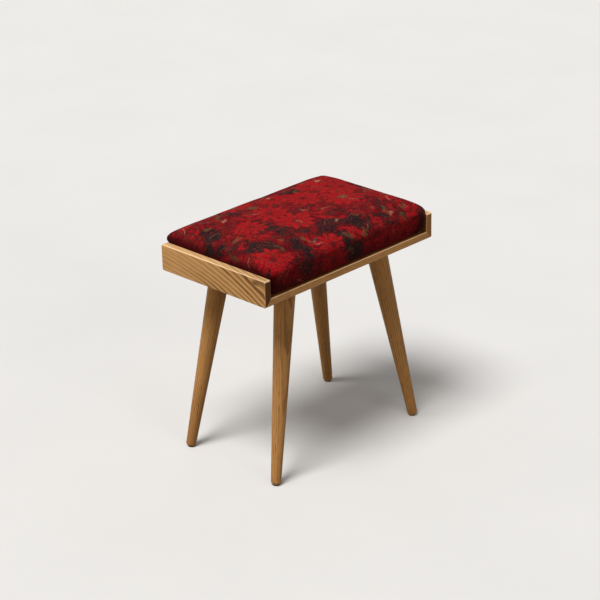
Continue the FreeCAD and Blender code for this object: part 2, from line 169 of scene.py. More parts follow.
class CoverSettings(bpy.types.PropertyGroup):
    bloom: colour_setting("Bloom", "Bright petals", 167, 19, 26)
    petal_shade: colour_setting("Petal shade", "Deep red between and inside the petals", 92, 12, 20)
    ground: colour_setting("Ground", "Charcoal ground", 38, 23, 26)
    leaf: colour_setting("Leaf", "Olive leaves", 92, 76, 50)
    thread: colour_setting("Thread", "Thin pale strokes", 206, 160, 130)
    fleck: colour_setting("Fleck", "Few grey-blue flecks", 98, 112, 116)
    bloom_pitch: length_setting("Bloom pitch", "Between neighbouring blooms", 0.074)
    yarn_pitch: length_setting("Yarn pitch", "Between neighbouring yarns", 0.0013)
    voxel: length_setting("Cloth grid", "Grid of the cloth while it swells", 0.005)
    start_inset: length_setting("Start inset", "How much smaller the pad starts", 0.001)
    pressure: number_setting("Pressure", "Push of the filling on the cloth", 4.0)
    swell_limit: length_setting("Swell limit", "Most that the cloth may move", 0.005)
    swell_frames: IntProperty(name="Swell steps", description="Steps of the swelling", default=20)
    lump: length_setting("Lumps", "Height of the soft lumps in the filling", 0.0009)
    staple_pitch: length_setting("Staple pitch", "Between neighbouring staples", 0.048)
    staple_pull: length_setting("Staple pull", "How far a staple draws the hem in", 0.0012)
    end_bulge: length_setting("End bulge", "Swell over the end boards", 0.007)
    end_fill: length_setting("End fill", "Swell of the ends below the end boards' tops", 0.004)
    shoulder: length_setting("Shoulder", "Swell of the sides above the end boards", 0.004)
    corner_fill: length_setting("Corner fill", "Extra swell at the four corners", 0.004)
    corner_drop: length_setting("Corner drop", "Fall of the top at the four corners", 0.007)
    rim_lift: length_setting("Rim lift", "Rise of the whole top", 0.0022)
    lean: number_setting("Lean", "How much fuller the pad's left end is than its middle", 0.4)
    # Painted shade on the cloth, along its hem and beside the end boards
    hem_shade: number_setting("Hem shade", "Brightness of the cloth along its hem", 0.42)
    end_shade: number_setting("End shade", "Brightness of the cloth beside the end boards", 0.3)


# Small helpers

def select_only(piece):
    bpy.ops.object.select_all(action="DESELECT")
    piece.select_set(True)
    bpy.context.view_layer.objects.active = piece


def renamed(piece, name):
    piece.name = name
    piece.data.name = name
    return piece


def primitive(operator, name, **options):
    """New piece from a mesh primitive, with nothing else selected."""
    bpy.ops.object.select_all(action="DESELECT")
    operator(**options)
    return renamed(bpy.context.object, name)


def copy_of(piece, name):
    """Copy of a piece with its own mesh."""
    twin = piece.copy()
    twin.data = piece.data.copy()
    bpy.context.scene.collection.objects.link(twin)
    return renamed(twin, name)


def join(pieces):
    """Make the first of the pieces hold all of them."""
    select_only(pieces[0])
    for piece in pieces:
        piece.select_set(True)
    bpy.ops.object.join()


def apply_modifier(piece, kind, **options):
    """Add a modifier, set it up and apply it."""
    select_only(piece)
    bpy.ops.object.modifier_add(type=kind)
    modifier = piece.modifiers[-1]
    for key, value in options.items():
        setattr(modifier, key, value)
    bpy.ops.object.modifier_apply(modifier=modifier.name)


def cut_out(piece, tool):
    """Cut a tool's shape out of a piece, and remove the tool."""
    apply_modifier(piece, "BOOLEAN", operation="DIFFERENCE", object=tool, solver="EXACT")
    bpy.data.objects.remove(tool)


def edit(piece):
    """Edit mode with the whole mesh selected."""
    select_only(piece)
    bpy.ops.object.mode_set(mode="EDIT")
    bpy.ops.mesh.select_all(action="SELECT")


def pick(piece, kind, test):
    """In edit mode, select only the edges or faces that pass a test."""
    bpy.ops.mesh.select_mode(type=kind)
    bpy.ops.mesh.select_all(action="DESELECT")
    mesh = bmesh.from_edit_mesh(piece.data)
    for part in mesh.faces if kind == "FACE" else mesh.edges:
        part.select_set(test(part))
    bmesh.update_edit_mesh(piece.data)


def leave_edit():
    bpy.ops.object.mode_set(mode="OBJECT")


def bake_place(piece):
    """Put a piece's place, turn and scale into its mesh."""
    select_only(piece)
    bpy.ops.object.transform_apply(location=True, rotation=True, scale=True)


def give_material(piece, material):
    piece.data.materials.clear()
    piece.data.materials.append(material)


def finish_piece(piece, material, body):
    give_material(piece, material)
    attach(piece, body)


# Shader helpers

def is_socket(value):
    return isinstance(value, bpy.types.NodeSocket)


def add_node(kind, inputs, **options):
    """Add a shader node to the tree of its linked inputs, set its options, and set or link the inputs."""
    tree = next(value.id_data for value in inputs.values() if is_socket(value))
    made = tree.nodes.new("ShaderNode" + kind)
    for key, value in options.items():
        setattr(made, key, value)
    for key, value in inputs.items():
        plug(made.inputs[key], value)
    return made


def plug(socket, value):
    """Link a socket to another, or set its plain value."""
    if is_socket(value):
        socket.id_data.links.new(value, socket)
    elif socket.type == "RGBA":
        socket.default_value = (value[0], value[1], value[2], 1.0)
    else:
        socket.default_value = value


def maths(operation, *values, clamp=False):
    inputs = dict(enumerate(values))
    return add_node("Math", inputs, operation=operation, use_clamp=clamp).outputs[0]


def vector_maths(operation, *vectors):
    made = add_node("VectorMath", dict(enumerate(vectors)), operation=operation)
    return made.outputs["Value" if operation in ("LENGTH", "DOT_PRODUCT") else "Vector"]


# Short names: scaled is a value times a factor, plus the rest
times = partial(maths, "MULTIPLY")
plus = partial(maths, "ADD")
minus = partial(maths, "SUBTRACT")
highest = partial(maths, "MAXIMUM")
absolute = partial(maths, "ABSOLUTE")
scaled = partial(maths, "MULTIPLY_ADD")
moved = partial(vector_maths, "ADD")
difference = partial(vector_maths, "SUBTRACT")
stretched = partial(vector_maths, "MULTIPLY")
length_of = partial(vector_maths, "LENGTH")


def parts(vector):
    return add_node("SeparateXYZ", {"Vector": vector}).outputs


def vector_of(**sides):
    return add_node("CombineXYZ", sides).outputs["Vector"]


def ramp(value, low, high, out_low=0.0, out_high=1.0):
    """Smooth step of a value from low to high."""
    inputs = {"Value": value, "From Min": low, "From Max": high, "To Min": out_low, "To Max": out_high}
    return add_node("MapRange", inputs, interpolation_type="SMOOTHSTEP").outputs["Result"]


def mix(factor, first, second, blend_type="MIX"):
    """Mix of two colours, which are inputs 6 and 7 of the node."""
    inputs = {0: factor, 6: first, 7: second}
    return add_node("Mix", inputs, data_type="RGBA", blend_type=blend_type).outputs[2]


def shaded(colour, brightness):
    return mix(1.0, colour, brightness, "MULTIPLY")


def noise_node(vector, scale, detail, roughness=0.5):
    """Noise with one scale, or with one for each axis."""
    if isinstance(scale, tuple):
        vector = stretched(vector, scale)
        scale = 1.0
    inputs = {"Vector": vector, "Scale": scale, "Detail": detail, "Roughness": roughness}
    return add_node("TexNoise", inputs, noise_dimensions="3D")


def noise(vector, scale, detail=2.0, roughness=0.5):
    return noise_node(vector, scale, detail, roughness).outputs["Fac"]


def wander(vector, scale):
    """Vector that wanders about zero, by half a unit at most."""
    colour = noise_node(vector, scale, 2.0).outputs["Color"]
    return difference(colour, (0.5, 0.5, 0.5))


def chance_of(count):
    """Random value from 0 to 1 for each whole number."""
    return add_node("TexWhiteNoise", {"W": count}, noise_dimensions="1D").outputs["Value"]


def new_group(name, vectors, numbers, colours, outputs):
    """Shader node group with named sockets, as (tree, inputs by name, outputs by name)."""
    tree = bpy.data.node_groups.new(name, "ShaderNodeTree")
    for kind, names in (("Vector", vectors), ("Float", numbers), ("Color", colours)):
        for key in names:
            socket = tree.interface.new_socket(key, in_out="INPUT", socket_type="NodeSocket" + kind)
            if kind == "Float":
                socket.default_value = numbers[key]
    for key, kind in outputs.items():
        tree.interface.new_socket(key, in_out="OUTPUT", socket_type="NodeSocket" + kind)
    start = tree.nodes.new("NodeGroupInput")
    end = tree.nodes.new("NodeGroupOutput")
    return tree, start.outputs, end.inputs


def use_group(group, settings, names, inputs):
    """Use a group, with its named inputs from the settings of the same names and others as given."""
    chosen = {name: getattr(settings, name.lower().replace(" ", "_")) for name in names}
    return add_node("Group", {**chosen, **inputs}, node_tree=group).outputs


def new_material(name):
    """Material with a Principled shader, as (material, shader, place on the object)."""
    material = bpy.data.materials.new(name)
    material.use_nodes = True
    tree = material.node_tree
    tree.nodes.clear()
    shader = tree.nodes.new("ShaderNodeBsdfPrincipled")
    add_node("OutputMaterial", {"Surface": shader.outputs["BSDF"]})
    coordinates = tree.nodes.new("ShaderNodeTexCoord").outputs
    return material, shader, coordinates["Object"]


def surface(shader, colour, roughness, height, depth, strength, plain=None):
    """Colour, roughness and bump of a surface, and plain values for other sockets of its shader."""
    relief = add_node("Bump", {"Height": height, "Distance": depth, "Strength": strength})
    inputs = {"Base Color": colour, "Roughness": roughness, "Normal": relief.outputs["Normal"]}
    inputs.update(plain or {})
    for key, value in inputs.items():
        plug(shader.inputs[key], value)


# Oak

def oak_group():
    """Growth rings, pores and fibres of flat-sawn oak. X of the vector runs along the grain."""
    tree, given, result = new_group(
        "oak grain",
        ("Vector", "Pith"),
        {"Ring Spacing": 0.005, "Sweep": 0.0, "Figure": 1.0, "Calm": -1.0, "Drift": 0.03,
         "End Grain": 0.0, "Edge": 0.0, "Roughness": 0.4},
        ("Late Wood", "Early Wood", "Pore", "End Wood", "Worn Edge"),
        {"Color": "Color", "Roughness": "Float", "Height": "Float"})
    place = given["Vector"]
    run = parts(place)["X"]

    # Rings about the pith, bent by a slow drift, a fine ripple and the sweep along the board
    reach = vector_of(Y=given["Drift"], Z=given["Drift"])
    sweep = times(times(run, run), given["Sweep"])
    bent = place
    for step in (
            stretched(wander(place, (4.0, 11.0, 11.0)), reach),
            stretched(wander(place, (22.0, 90.0, 90.0)), (0.0, 0.0022, 0.0022)),
            vector_of(Y=sweep)):
        bent = moved(bent, step)
    from_pith = difference(bent, given["Pith"])
    across = length_of(stretched(from_pith, (0.0, 1.0, 1.0)))
    phase = maths("DIVIDE", across, given["Ring Spacing"])
    share = maths("FRACT", phase)
    early = highest(ramp(share, 0.20, 0.72, 1.0, 0.0), ramp(share, 0.88, 1.0))
    chance = chance_of(maths("FLOOR", phase))
    early = times(early, scaled(chance, 0.35, 0.65))
    lively = ramp(run, given["Calm"], plus(given["Calm"], 0.20), 0.45, 1.15)
    early = times(early, lively)

    fibre = noise(place, (26.0, 620.0, 620.0), 3.0, 0.6)
    pore = ramp(noise(place, (60.0, 1150.0, 1150.0), 1.0), 0.56, 0.68)
    pore = times(pore, scaled(early, 0.75, 0.2))
    tone = noise(place, (5.0, 16.0, 16.0))

    dark = times(early, given["Figure"])
    dark = scaled(minus(fibre, 0.5), 0.9, dark)
    dark = scaled(minus(tone, 0.5), 0.9, dark, clamp=True)
    colour = mix(dark, given["Late Wood"], given["Early Wood"])
    colour = mix(times(pore, 0.7), colour, given["Pore"])
    cut = mix(times(fibre, 0.5), given["End Wood"], given["Pore"])
    colour = mix(times(given["End Grain"], 0.94), colour, cut)
    # Paler edges and tops: wear with a painted highlight
    wear_and_highlight = times(given["Edge"], ramp(tone, 0.25, 0.65, 0.95, 0.65))
    colour = mix(wear_and_highlight, colour, given["Worn Edge"])
    rough = scaled(pore, 0.16, scaled(fibre, 0.14, given["Roughness"]))
    plug(result["Color"], colour)
    plug(result["Roughness"], rough)
    plug(result["Height"], scaled(pore, -0.8, times(fibre, 0.3)))
    return tree


def paint_oak(node, settings, along, face, start, figure, inside=None, top=False, knot=None):
    """Oak on one node, with its grain along one direction and its broad face looking another way.

    The figure gives the values of the grain's own inputs. A board of the tray names the way that its
    inner face looks: that face is darker with painted shade, its edges are paler with wear and a painted
    highlight, and its top, when asked for, is paler with painted light as well as wear.
    """
    along = Vector(along).normalized()
    face = Vector(face)
    thickness = (face - along * along.dot(face)).normalized()
    turn = Matrix((along, thickness.cross(along), thickness))
    material, shader, place = new_material("oak " + node.replace("_", " "))
    normal = place.node.outputs["Normal"]
    shift = Vector(start) - turn @ middle_of(node)
    mapping = {"Vector": place, "Location": shift, "Rotation": turn.to_euler("XYZ")}
    grain_place = add_node("Mapping", mapping, vector_type="POINT").outputs["Vector"]
    if knot:
        # The grain flows round the knot
        arm = stretched(difference(place, knot), (0.6, 0.65, 1.4))
        knot_distance = length_of(arm)
        push = ramp(knot_distance, 0.002, 0.024, 0.005, 0.0)
        grain_place = moved(grain_place, vector_of(Y=push))
    wear_and_highlight = 0.0
    # Wear along the rounded edges with a painted highlight, most on the upward ones
    if inside:
        # Only the rounded edges look along none of the three axes
        sides = parts(vector_maths("ABSOLUTE", normal))
        straight = highest(highest(sides["X"], sides["Y"]), sides["Z"])
        upright = parts(normal)["Z"]
        handled = ramp(upright, 0.1, 0.5, 0.25, 1.0)
        wear_and_highlight = times(ramp(straight, 0.90, 0.995, 1.0, 0.0), handled)
        # Painted light: the tops are paler, as if lit from above, along with wear
        if top:
            wear_and_highlight = highest(wear_and_highlight, ramp(upright, 0.90, 0.99, 0.0, 0.35))
    facing = absolute(vector_maths("DOT_PRODUCT", normal, along))
    group = bpy.data.node_groups.get("oak grain") or oak_group()
    colours = ("Late Wood", "Early Wood", "Pore", "End Wood", "Worn Edge")
    grain = use_group(group, settings, ("Roughness",) + colours, {
        "Vector": grain_place,
        "End Grain": ramp(facing, 0.72, 0.92),
        "Edge": wear_and_highlight,
        **figure,
    })
    colour = grain["Color"]
    if inside:
        # Painted shade on the inner face of a tray board
        painted_inside_shade = ramp(vector_maths("DOT_PRODUCT", normal, inside), 0.90, 0.99)
        colour = mix(painted_inside_shade, colour, settings.inside_painted_shade, "MULTIPLY")
    if knot:
        core = ramp(knot_distance, 0.001, 0.010, 0.8, 0.0)
        colour = mix(core, colour, settings.knot)
    plain = {"Specular IOR Level": settings.shine}
    surface(shader, colour, grain["Roughness"], grain["Height"], 0.00025, 0.6, plain)
    give_material(nodes[node], material)


class STOOL_OT_oak_tray(bpy.types.Operator):
    """Oak on the seat board and the two end boards, each with its own figure"""
    bl_idname = "stool.oak_tray"
    bl_label = "Oak tray"

    def execute(self, context):
        settings = context.scene.stool_oak
        wide = settings.ring_spacing
        straight = {
            "Pith": (0, 0.03, -0.11), "Ring Spacing": wide * 0.5, "Figure": 0.22, "Drift": 0.010,
            "Late Wood": settings.seat_wood}
        paint_oak(
            "seat_board", settings, (1, 0, 0), (0, 0, 1), (0.3, 0.1, 0), straight, (0, 0, 1))
        fanned = {
            "Ring Spacing": wide, "Figure": 0.8, "Sweep": settings.sweep, "Calm": -0.11, "Drift": 0.018}
        fall = math.sin(settings.slope)
        run = math.cos(settings.slope)
        # The knot is at the front of the left end board, close under its top
        knot = (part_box("left_end_board")[0].x, -0.115, end_rim - 0.0095)
        paint_oak(
            "left_end_board", settings, (0, -run, -fall), (-1, 0, 0), (0, 0, 0),
            {"Pith": (0, 0.12, -0.10), **fanned}, (1, 0, 0), True, knot)
        paint_oak(
            "right_end_board", settings, (0, run, -fall), (1, 0, 0), (0, 0.01, 0),
            {"Pith": (0, 0.13, -0.11), "End Wood": settings.pale_end, **fanned}, (-1, 0, 0), True)
        return {"FINISHED"}


class STOOL_OT_oak_legs(bpy.types.Operator):
    """Oak on the turned legs, with the grain along each leg"""
    bl_idname = "stool.oak_legs"
    bl_label = "Oak legs"

    def execute(self, context):
        settings = context.scene.stool_oak
        for index, corner in enumerate(corner_names):
            along = middle_of(corner + "_leg_plate") - middle_of(corner + "_foot_pad")
            figure = {
                "Pith": (0, 0.09 + 0.013 * index, -0.05),
                "Ring Spacing": settings.ring_spacing * 0.5,
                "Figure": 0.4,
                "Drift": 0.008,
                "Late Wood": settings.leg_wood,
            }
            start = (0.61 * index, 0.17 * index, 0)
            paint_oak(corner + "_leg", settings, along, (-1, -0.4, 0), start, figure)
        return {"FINISHED"}


# Fixings, felts and joint wood

def zinc_material(name, colour):
    """Plated steel with faint spangles and scratches."""
    material, shader, place = new_material(name)
    spangle = add_node("TexVoronoi", {"Vector": place, "Scale": 260.0}).outputs["Color"]
    colour = shaded(colour, scaled(spangle, 0.16, 0.84))
    roughness = ramp(noise(place, 90.0, 3.0), 0.3, 0.7, 0.28, 0.46)
    scratch = noise(place, (300.0, 2400.0, 600.0))
    surface(shader, colour, roughness, scratch, 0.00004, 0.5, {"Metallic": 1.0})
    return material


def pan_screw():
    """Pan-head wood screw with a cross recess, head down, its seat at the origin."""
    low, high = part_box(corner_names[0] + "_plate_screws")
    drop = screw_seat - low.z
    reach = high.z - screw_seat
    screw = primitive(
        bpy.ops.mesh.primitive_cylinder_add, "pan_screw", vertices=24, radius=screw_head,
        depth=drop, location=(0, 0, -drop / 2))
    bake_place(screw)
    edit(screw)
    pick(screw, "EDGE", lambda edge: max(vert.co.z for vert in edge.verts) < -drop + 1e-6)
    bpy.ops.mesh.bevel(
        offset=drop * 0.6, segments=4, profile=0.5, affect="EDGES", clamp_overlap=False)
    leave_edit()
    for width, length in ((0.0009, 0.0044), (0.0044, 0.0009)):
        slot = primitive(bpy.ops.mesh.primitive_cube_add, "recess", size=1, location=(0, 0, -drop))
        slot.scale = (width, length, drop * 1.2)
        bake_place(slot)
        cut_out(screw, slot)
    shank = primitive(
        bpy.ops.mesh.primitive_cone_add, "shank", vertices=16, radius1=screw_shank,
        radius2=screw_shank * 0.55, depth=reach, location=(0, 0, reach / 2))
    bake_place(shank)
    join([screw, shank])
    bpy.ops.object.shade_smooth_by_angle(angle=math.radians(40))
    return screw


def plate_screws(corner, pattern):
    """Four screws at the corners of one leg plate."""
    copies = []
    for x, y in corners_of(corner + "_plate_screws", screw_head):
        screw = copy_of(pattern, corner + "_screw")
        screw.rotation_euler = (0, 0, 0.7 + 2.3 * len(copies))
        screw.location = (x, y, screw_seat)
        bake_place(screw)
        copies.append(screw)
    join(copies)
    return renamed(copies[0], corner + "_pan_screws")


class STOOL_OT_leg_fixings(bpy.types.Operator):
    """Zinc plate, bolt, nut and screws at the top of each leg"""
    bl_idname = "stool.leg_fixings"
    bl_label = "Leg fixings"

    def execute(self, context):
        zinc = zinc_material("zinc plating", linear(190, 193, 196))
        pattern = pan_screw()
        for corner in corner_names:
            for part in ("leg_plate", "hanger_bolt", "plate_nut"):
                give_material(nodes[corner + "_" + part], zinc)
            screws = plate_screws(corner, pattern)
            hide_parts(corner + "_plate_screws")
            finish_piece(screws, zinc, "frame")
        bpy.data.objects.remove(pattern)
        return {"FINISHED"}


def fluffy_material(name, fine, slow, share, depth, deep, pale, cloudy):
    """Tangled fibres, a little cloudy. Fine and slow are the scale and detail of two noises."""
    material, shader, place = new_material(name)
    tangle = noise(place, *fine, 0.7)
    cloud = times(noise(place, *slow), share)
    colour = mix(cloud, mix(tangle, deep, pale), cloudy)
    surface(shader, colour, 0.95, tangle, depth, 0.8, {"Sheen Weight": 0.3})
    return material


class STOOL_OT_foot_felts(bpy.types.Operator):
    """Felt disc under each foot"""
    bl_idname = "stool.foot_felts"
    bl_label = "Foot felts"

    def execute(self, context):
        felt = fluffy_material(
            "pressed felt", (2600.0, 4.0), (240.0, 2.0), 0.4, 0.0002,
            linear(48, 40, 34), linear(92, 80, 70), linear(60, 52, 46))
        for corner in corner_names:
            give_material(nodes[corner + "_foot_pad"], felt)
        return {"FINISHED"}


def beech_material():
    material, shader, place = new_material("bare beech")
    fleck = ramp(noise(place, (700.0, 90.0, 90.0)), 0.52, 0.66)
    cloud = noise(place, 60.0, 3.0)
    colour = mix(cloud, linear(206, 168, 124), linear(184, 143, 100))
    colour = mix(times(fleck, 0.5), colour, linear(140, 98, 62))
    surface(shader, colour, ramp(cloud, 0.2, 0.8, 0.5, 0.65), fleck, -0.0001, 0.5)
    return material


class STOOL_OT_joint_wood(bpy.types.Operator):
    """Beech biscuits in the mitres and beech pegs under the pad"""
    bl_idname = "stool.joint_wood"
    bl_label = "Biscuits and pegs"

    def execute(self, context):
        beech = beech_material()
        for node in ("left_mitre_biscuits", "right_mitre_biscuits", "pad_pegs"):
            give_material(nodes[node], beech)
        return {"FINISHED"}


# Pad

def pad_blank(settings):
    """Outer skin of the pad's solid, a little smaller and on a fine even grid."""
    skin = bpy.data.objects.new("pad_skin", nodes["pad_cover"].data.copy())
    bpy.context.scene.collection.objects.link(skin)
    edit(skin)
    bpy.ops.mesh.remove_doubles(threshold=1e-5)
    # The inner wall and the edge of the hem face the middle of the pad, and come off
    middle = (pad_low + pad_high) / 2
    pick(skin, "FACE", lambda face: face.normal.dot(face.calc_center_median() - middle) < 0)
    bpy.ops.mesh.delete(type="FACE")
    bpy.ops.mesh.select_all(action="SELECT")
    bpy.ops.mesh.fill_holes(sides=0)
    leave_edit()
    size = pad_high - pad_low
    inset = settings.start_inset
    skin.scale = (1 - 2 * inset / size.x, 1 - 2 * inset / size.y, 1 - inset / size.z)
    skin.location.z = pad_low.z * (1 - skin.scale.z)
    bake_place(skin)
    apply_modifier(skin, "REMESH", mode="VOXEL", voxel_size=settings.voxel)
    for vert in skin.data.vertices:
        if vert.co.z < pad_low.z + settings.voxel / 3:
            vert.co.z = pad_low.z
    return skin


def swell(piece, settings):
    """Let the filling push the cloth out, held along the flat underside."""
    scene = bpy.context.scene
    held = piece.vertex_groups.new(name="held")
    underside = [vert.index for vert in piece.data.vertices if vert.co.z < pad_low.z + 1e-5]
    held.add(underside, 1.0, "REPLACE")
    before = [(vert.co.copy(), vert.normal.copy()) for vert in piece.data.vertices]
    select_only(piece)
    bpy.ops.object.modifier_add(type="CLOTH")
    cloth = piece.modifiers[-1]
    cloth.settings.use_pressure = True
    cloth.settings.uniform_pressure_force = settings.pressure
    cloth.settings.effector_weights.gravity = 0
    cloth.settings.vertex_group_mass = held.name
    cloth.settings.bending_stiffness = 0.3
    cloth.point_cache.frame_start = 1
    cloth.point_cache.frame_end = settings.swell_frames
    for step in range(1, settings.swell_frames + 1):
        scene.frame_set(step)
    bpy.ops.object.modifier_apply(modifier=cloth.name)
    scene.frame_set(1)
    for vert, (start, normal) in zip(piece.data.vertices, before):
        move = vert.co - start
        move -= normal * min(0.0, move.dot(normal))
        if move.length > settings.swell_limit:
            move *= settings.swell_limit / move.length
        vert.co = start + move
    piece.vertex_groups.clear()


# Where the pad settles, above its underside
firm_hem = 0.012
pull_height = 0.034
waist_height = 0.022
# Where it settles, above the tops of the end boards
shoulder_height = 0.011
shoulder_half = 0.014
bulge_start = 0.002
bulge_run = 0.005
# Along the boards and the edges
board_gap = 0.0006
corner_run = 0.07


def hump(value, middle, half):
    """One in the middle, and zero from half a width away."""
    return max(0.0, 1 - ((value - middle) / half) ** 2)


def edge_share(place, half):
    """From 0 well inside the pad to 1 at its edge."""
    return between((abs(place) - half + corner_run) / corner_run, 0.0, 1.0)


def settle(piece, settings):
    """Soft lumps, the pull of the staples along the hem, and the room between the end boards."""
    piece.data.update()
    normals = [vert.normal.copy() for vert in piece.data.vertices]
    for vert, normal in zip(piece.data.vertices, normals):
        place = vert.co
        rise = place.z - pad_low.z
        lump = (perlin.noise(place * 17.0) + perlin.noise(place * 41.0) * 0.4) * settings.lump
        along = place.x if abs(normal.y) > abs(normal.x) else place.y
        near_staple = math.cos(math.pi * along / settings.staple_pitch) ** 4
        pull = settings.staple_pull * near_staple * max(0.0, 1 - rise / pull_height) ** 1.5
        place = place + normal * ((lump - pull) * min(1.0, rise / firm_hem))
        upper = hump(place.z - end_rim, shoulder_height, shoulder_half)
        waist = settings.end_fill * hump(rise, waist_height, waist_height)
        place.x += normal.x * (settings.shoulder * upper + waist)
        place.y += normal.y * settings.shoulder * upper
        fuller = 1 - settings.lean * place.x / pad_high.x
        corner = edge_share(place.x, pad_high.x) * edge_share(place.y, pad_high.y)
        fill = settings.corner_fill * fuller * corner * upper
        place.x += math.copysign(fill, place.x)
        place.y += math.copysign(fill, place.y)
        lift = settings.rim_lift - settings.corner_drop * corner * corner
        place.z += lift * max(0.0, rise / (pad_high.z - pad_low.z)) ** 2
        bulge = between((place.z - end_rim - bulge_start) / bulge_run, 0.0, 1.0)
        room = end_face - board_gap + settings.end_bulge * fuller * bulge
        place.x = between(place.x, -room, room)
        place.z = max(pad_low.z, place.z)
        vert.co = place


def lay_cloth_map(piece):
    """UV map in metres: the cloth lies flat on the top, runs on down the sides and under the hem."""
    rim = 0.020
    crown = 0.006
    hem = 0.012
    core_x = pad_high.x - rim
    core_y = pad_high.y - rim
    rim_height = pad_high.z - crown - rim
    layer = piece.data.uv_layers.new(name="cloth")
    spots = []
    for vert in piece.data.vertices:
        x, y, z = vert.co
        near_x = between(x, -core_x, core_x)
        near_y = between(y, -core_y, core_y)
        out_x = x - near_x
        out_y = y - near_y
        out = math.hypot(out_x, out_y)
        if out < 1e-6:
            spots.append((x, y))
            continue
        turn = math.atan2(out, max(z - rim_height, 0.0))
        under = between((pad_low.z + hem - z) / hem, 0.0, 1.0)
        run = rim * turn + max(rim_height - z, 0.0) + under * max(0.0, rim - out)
        spots.append((near_x + out_x / out * run, near_y + out_y / out * run))
    for loop in piece.data.loops:
        layer.data[loop.index].uv = spots[loop.vertex_index]


def scattered(spot, randomness):
    """Scattered cells, one unit apart: distance and arm from the nearest one, and its chances."""
    inputs = {"Vector": spot, "Scale": 1.0, "Randomness": randomness}
    cell = add_node("TexVoronoi", inputs, voronoi_dimensions="2D", feature="F1").outputs
    arm = difference(spot, cell["Position"])
    chance = add_node("SeparateColor", {"Color": cell["Color"]}).outputs
    return cell["Distance"], arm, chance


def bearing(arm, chance, span):
    """Angle of an arm, turned by a chance share of a span."""
    flat = parts(arm)
    return scaled(chance, span, maths("ARCTAN2", flat["Y"], flat["X"]))


def petal_wave(angle, count, shift):
    """Wave from 0 between two petals to 1 along the middle of each."""
    saw = maths("FRACT", scaled(angle, count / (2 * math.pi), shift))
    return minus(1.0, absolute(scaled(saw, 2.0, -1.0)))


def petal_mask(radius, size, tip, base, reach):
    """Inside of a ring of pointed petals."""
    edge = times(size, scaled(tip, reach, base))
    return ramp(minus(radius, edge), -0.014, 0.014, 1.0, 0.0)


def bloom_layer(spot, petals, smallest, spread):
    """Masks of many-petalled blooms on scattered cells, one unit apart."""
    radius, arm, chance = scattered(spot, 0.8)
    angle = bearing(arm, chance["Red"], 3.0)
    size = scaled(chance["Green"], spread, smallest)
    outer_tip = petal_wave(angle, petals, 0.0)
    inner_tip = petal_wave(angle, petals, 0.5)
    heart_tip = petal_wave(angle, 7.0, 0.2)
    outer = petal_mask(radius, size, outer_tip, 0.66, 0.40)
    fringe = petal_mask(radius, times(size, 0.72), inner_tip, 0.62, 0.42)
    inner = petal_mask(radius, times(size, 0.64), inner_tip, 0.60, 0.42)
    heart = petal_mask(radius, times(size, 0.26), heart_tip, 0.55, 0.45)
    gap_outer = times(ramp(outer_tip, 0.08, 0.34, 1.0, 0.0), outer)
    gap_inner = times(ramp(inner_tip, 0.08, 0.36, 1.0, 0.0), inner)
    gap = highest(times(gap_outer, minus(1.0, inner)), gap_inner)
    gap = highest(gap, minus(fringe, inner))
    return outer, gap, heart, chance


def level_lines(place, scale, count, inner, outer):
    """Thin curving lines, where a slow field crosses its own levels."""
    share = maths("FRACT", times(noise(place, scale, 1.5), count))
    return ramp(absolute(minus(share, 0.5)), inner, outer, 1.0, 0.0)


def curved_strokes(place, pitch, reach, width, share, shift):
    """Short bent strokes, pointed at both ends, one in some of the scattered cells."""
    spot = stretched(place, (1 / pitch, 1 / pitch, 0.0))
    arm, chance = scattered(moved(spot, (shift, shift * 1.7, 0.0)), 0.9)[1:]
    turn = {"Vector": arm, "Angle": times(chance["Red"], 6.3)}
    flat = parts(add_node("VectorRotate", turn, rotation_type="Z_AXIS").outputs["Vector"])
    along = times(flat["X"], flat["X"])
    bend = times(along, scaled(chance["Green"], 3.0, -1.5))
    off = absolute(minus(flat["Y"], bend))
    taper = minus(1.0, maths("DIVIDE", along, reach * reach))
    inside = ramp(minus(off, times(taper, width)), -0.012, 0.012, 1.0, 0.0)
    return times(inside, ramp(chance["Blue"], share, share + 0.02))


